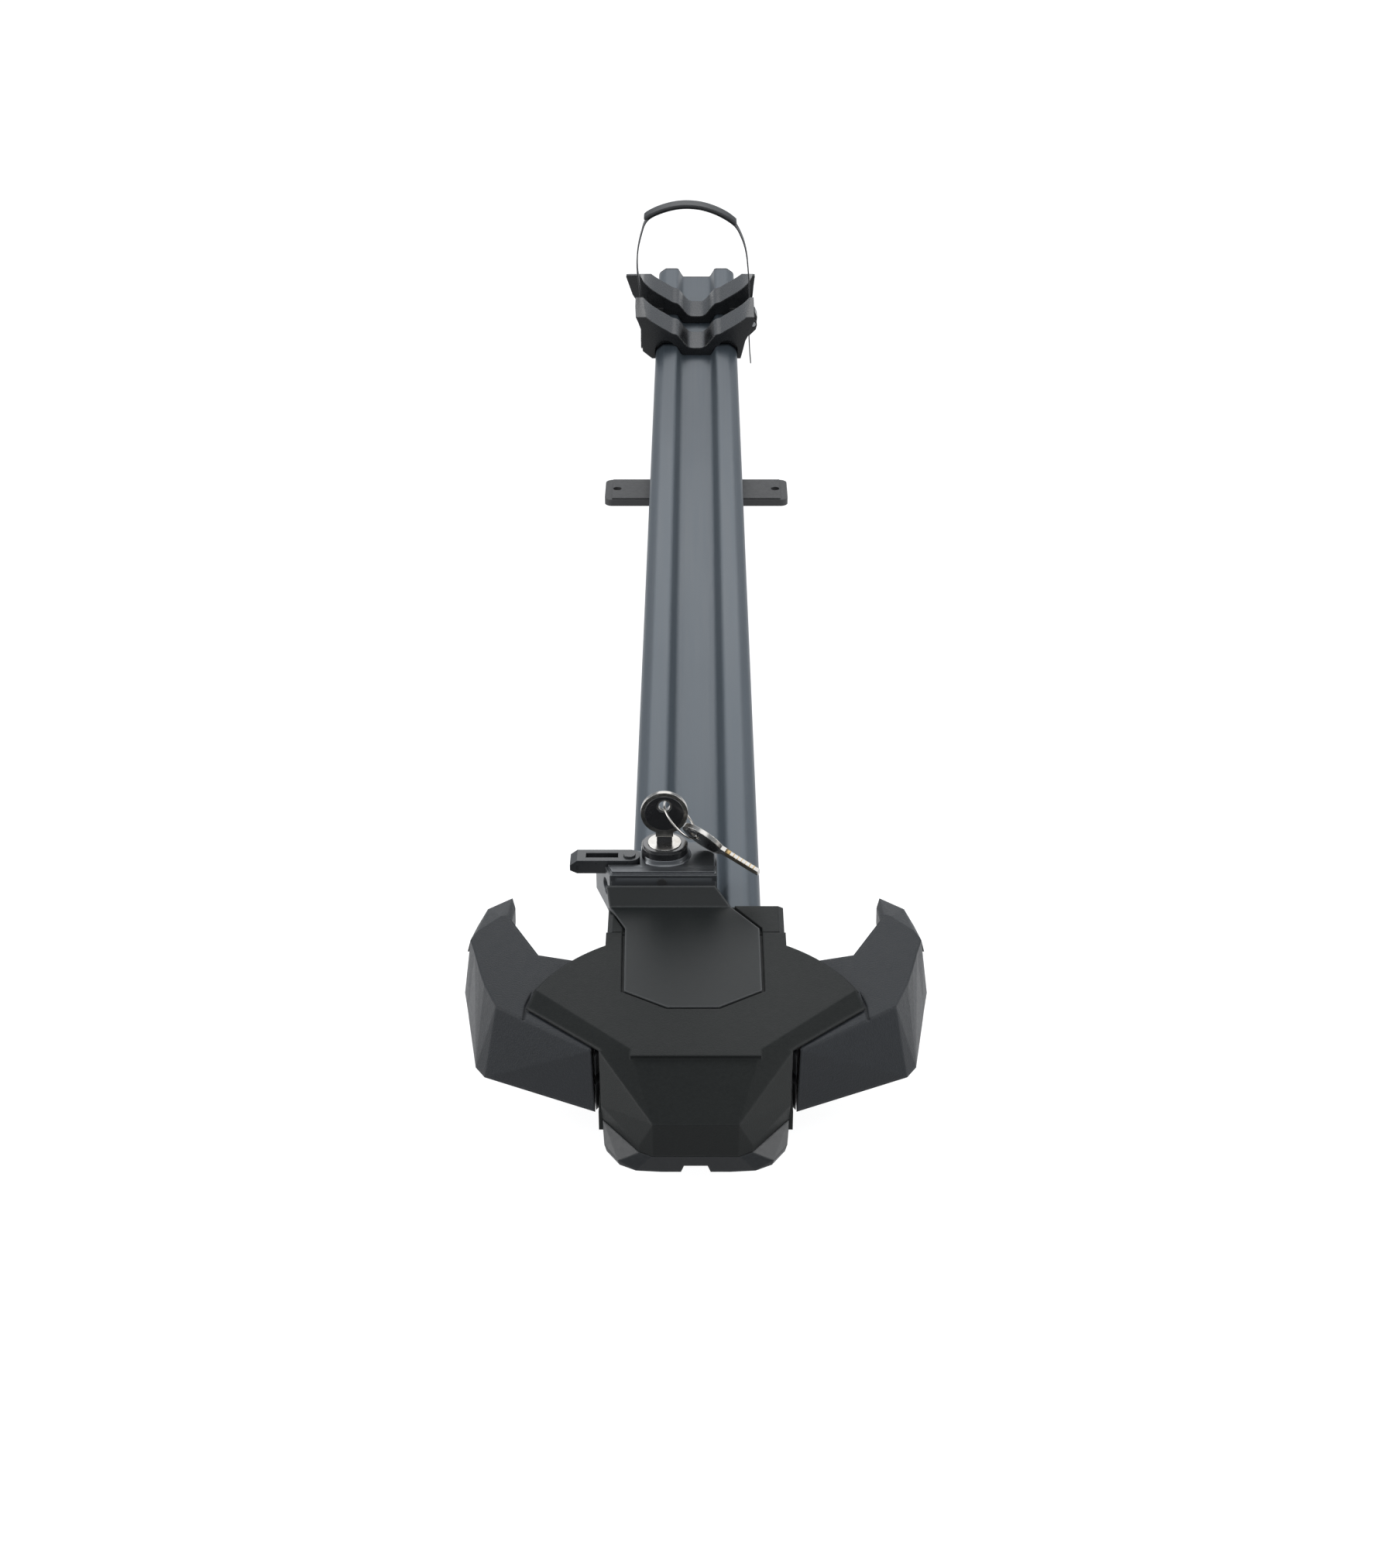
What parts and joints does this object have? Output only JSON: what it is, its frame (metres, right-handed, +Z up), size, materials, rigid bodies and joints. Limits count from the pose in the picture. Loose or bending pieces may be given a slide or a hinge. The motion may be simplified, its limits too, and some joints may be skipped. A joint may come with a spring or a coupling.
{
  "type": "roof mounted bike carrier",
  "caption": "Tray type roof carrier for one bicycle: clamping head with side claws and lock, long channel tray, cross plate, and a sliding wheel cradle with a strap.",
  "frame": {"origin": "centre of the seat face on the front bar: middle of the tray, middle of the bar, top of the bar", "axes": "+X to the right seen from the head end, +Y along the tray away from the head, +Z up"},
  "size_m": [0.262, 1.3697, 0.1747],
  "materials": {
    "tray_alu": "satin anodised, slightly blue",
    "moulded_cap": "fine grain",
    "head_shell": "fine grain",
    "claw_shell": "fine grain",
    "handle_shell": "smooth satin",
    "panel_metal": "smooth satin",
    "tower_metal": "satin gloss",
    "lever_metal": "satin",
    "lock_black": "gloss",
    "nickel": "worn nickel",
    "rubber": "matt",
    "zinc_steel": "zinc plated",
    "plate_black": "matt powder coat",
    "cradle_plastic": "satin gloss",
    "strap_rubber": "matt"
  },
  "bodies": {
    "head": {"tray_rail": "tray_alu", "tray_end_cap": "moulded_cap", "tray_screws": "zinc_steel", "head_base": "head_shell", "seat_pad": "rubber", "front_hooks": "zinc_steel", "head_cover": "head_shell", "rear_collar": "head_shell", "tower_panel": "panel_metal", "tower_block": "tower_metal", "lock_bezel": "lock_black", "lever_pin": "zinc_steel", "handle_pin": "zinc_steel"},
    "claws": {"claw_left": "claw_shell", "claw_right": "claw_shell", "claw_yoke": "zinc_steel", "jaw_left": "zinc_steel", "jaw_right": "zinc_steel", "jaw_pads": "rubber"},
    "clamp_handle": {"clamp_handle": "handle_shell"},
    "lever": {"lever": "lever_metal"},
    "lock_plug": {"lock_plug": "nickel"},
    "key": {"key": "nickel"},
    "key_ring": {"key_ring": "nickel"},
    "second_key": {"second_key": "nickel"},
    "cross_plate": {"rear_plate": "plate_black", "plate_screw": "zinc_steel", "slot_nut": "zinc_steel"},
    "cradle": {"cradle_body": "cradle_plastic", "strap_anchor": "zinc_steel", "buckle_base": "cradle_plastic", "buckle_pin": "zinc_steel"},
    "cradle_knob": {"cradle_knob": "cradle_plastic"},
    "strap": {"wheel_strap": "strap_rubber", "strap_pad": "strap_rubber"},
    "strap_tail": {"strap_tail": "strap_rubber"},
    "buckle_lever": {"buckle_lever": "cradle_plastic"},
    "buckle_pawl": {"buckle_pawl": "zinc_steel"}
  },
  "joints": [
    {"name": "claw_slide", "type": "slide", "parent": "head", "child": "claws", "axis": [0, 1, 0], "range_m": [0, 0.012]},
    {"name": "handle_flip", "type": "hinge", "parent": "head", "child": "clamp_handle", "pos_m": [0, -0.103, 0.005], "axis": [1, 0, 0], "range_deg": [0, 65]},
    {"name": "lever_swing", "type": "hinge", "parent": "head", "child": "lever", "pos_m": [-0.038, 0.066, 0.0528], "axis": [0, 0, -1], "range_deg": [0, 95]},
    {"name": "plug_turn", "type": "hinge", "parent": "head", "child": "lock_plug", "pos_m": [-0.018, 0.0707, 0.06], "axis": [0, 0, -1], "range_deg": [0, 90]},
    {"name": "key_pull", "type": "slide", "parent": "lock_plug", "child": "key", "axis": [0, 0, 1], "range_m": [0, 0.022]},
    {"name": "ring_swing", "type": "hinge", "parent": "key", "child": "key_ring", "pos_m": [-0.018, 0.0707, 0.092], "axis": [0, -1, 0], "range_deg": [0, 40]},
    {"name": "second_key_swing", "type": "hinge", "parent": "key_ring", "child": "second_key", "pos_m": [0.00007, 0.0707, 0.07262], "axis": [0, -1, 0], "range_deg": [0, 40]},
    {"name": "plate_slide", "type": "slide", "parent": "head", "child": "cross_plate", "axis": [0, 1, 0], "range_m": [-0.15, 0.15]},
    {"name": "cradle_slide", "type": "slide", "parent": "head", "child": "cradle", "axis": [0, 1, 0], "range_m": [-0.11, 0.09]},
    {"name": "knob_turn", "type": "hinge", "parent": "cradle", "child": "cradle_knob", "pos_m": [-0.046, 1.058, 0.02075], "axis": [1, 0, 0], "range_deg": [0, 90]},
    {"name": "strap_tighten", "type": "slide", "parent": "cradle", "child": "strap", "axis": [0, 0, -1], "range_m": [0, 0.02], "deforming": ["wheel_strap"]},
    {"name": "tail_feed", "type": "slide", "parent": "cradle", "child": "strap_tail", "axis": [0, 0, -1], "range_m": [0, 0.02]},
    {"name": "buckle_open", "type": "hinge", "parent": "cradle", "child": "buckle_lever", "pos_m": [0.0536, 1.066, 0.033], "axis": [0, 1, 0], "range_deg": [0, 100]},
    {"name": "pawl_press", "type": "hinge", "parent": "cradle", "child": "buckle_pawl", "pos_m": [0.0463, 1.066, 0.039], "axis": [0, -1, 0], "range_deg": [0, 8], "stiffness_Nm_per_rad": 0.05}
  ],
  "couplings": [
    {"joint": "handle_flip", "follows": "claw_slide", "rad_per_m": 94.5},
    {"joint": "tail_feed", "follows": "strap_tighten", "ratio": 1}
  ]
}
